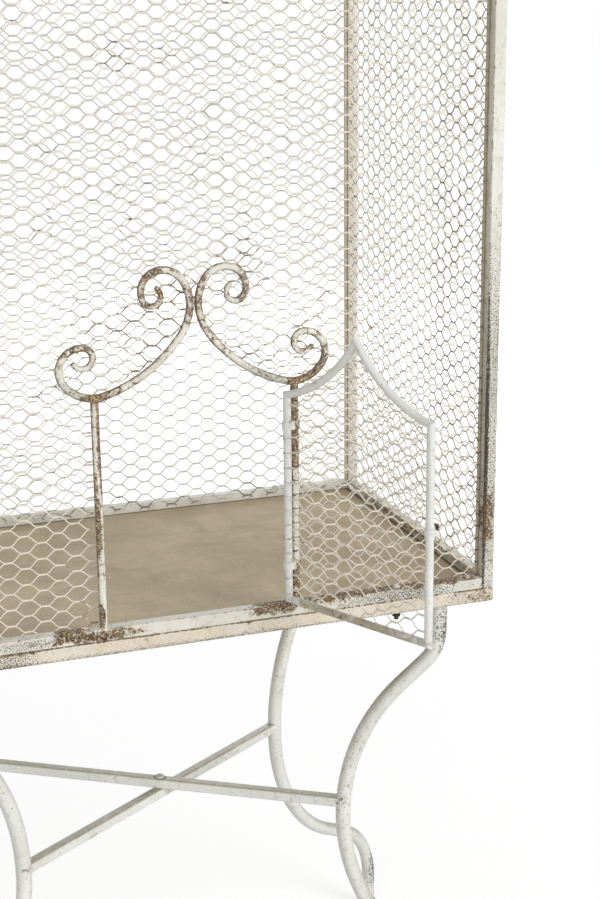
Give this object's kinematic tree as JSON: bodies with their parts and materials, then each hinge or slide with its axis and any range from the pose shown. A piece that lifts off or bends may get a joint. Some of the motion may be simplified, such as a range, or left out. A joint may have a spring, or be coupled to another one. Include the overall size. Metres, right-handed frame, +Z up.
{
  "type": "bird cage on stand",
  "caption": "Rectangular bird cage of hexagonal netting on a painted tube frame, with a hipped top and an arched swing door, bolted on a stand with S-curved legs and crossed stretchers",
  "frame": {"origin": "on the floor, under the middle of the part's box with the door standing open", "axes": "+X to the right seen from the door side, +Y to the back, +Z up"},
  "size_m": [0.9164, 0.7588, 1.7495],
  "materials": {
    "paint_white": "off-white paint worn to rust at edges",
    "paint_cream": "cream paint with dark chips",
    "netting_wire": "painted netting wire",
    "floor_ply": "tan mottled plywood",
    "dark_steel": "blackened steel",
    "rusty_steel": "brown rusted steel",
    "foot_plastic": "black plastic"
  },
  "bodies": {
    "cage": {"back_net": "netting_wire", "base_rail_back": "paint_white", "base_rail_front": "paint_white", "base_rail_left": "paint_white", "base_rail_right": "paint_white", "clamp_bolts": "dark_steel", "clamp_nuts": "dark_steel", "corner_post_back_left": "paint_white", "corner_post_back_right": "paint_white", "corner_post_front_left": "paint_white", "corner_post_front_right": "paint_white", "door_post_left": "paint_white", "door_post_right": "paint_white", "floor_board": "floor_ply", "front_net_left": "netting_wire", "front_net_over_left": "netting_wire", "front_net_over_right": "netting_wire", "front_net_right": "netting_wire", "hinge_strap_lower": "paint_white", "hinge_strap_upper": "paint_white", "hip_rod_back_left": "paint_white", "hip_rod_back_right": "paint_white", "hip_rod_front_left": "paint_white", "hip_rod_front_right": "paint_white", "left_net": "netting_wire", "leg_back_left": "paint_cream", "leg_back_right": "paint_cream", "leg_front_left": "paint_cream", "leg_front_right": "paint_cream", "leg_glides": "foot_plastic", "ridge_rod": "paint_white", "right_net": "netting_wire", "roof_net_back": "netting_wire", "roof_net_front": "netting_wire", "roof_net_left": "netting_wire", "roof_net_right": "netting_wire", "scroll_left": "paint_white", "scroll_right": "paint_white", "stand_rail_back": "paint_cream", "stand_rail_front": "paint_cream", "stand_rail_left": "paint_cream", "stand_rail_right": "paint_cream", "stretcher_lower": "paint_cream", "stretcher_rivet": "paint_white", "stretcher_upper": "paint_cream", "top_rail_back": "paint_white", "top_rail_front": "paint_white", "top_rail_left": "paint_white", "top_rail_right": "paint_white"},
    "door": {"door_arch_free_side": "paint_white", "door_arch_hinge_side": "paint_white", "door_bottom_bar": "paint_white", "door_free_bar": "paint_white", "door_hinge_bar": "paint_white", "door_net": "netting_wire", "latch_collars": "rusty_steel"},
    "latch": {"latch_hook": "rusty_steel"}
  },
  "joints": [
    {"name": "door_hinge", "type": "hinge", "parent": "cage", "child": "door", "pos_m": [0.114, -0.17097, 0.81524], "axis": [0, 0, 1], "range_deg": [-116.8, 20]},
    {"name": "latch_swivel", "type": "hinge", "parent": "door", "child": "latch", "pos_m": [0.2159, -0.3727, 0.95454], "axis": [0, 0, 1], "range_deg": [-126, 4]}
  ]
}
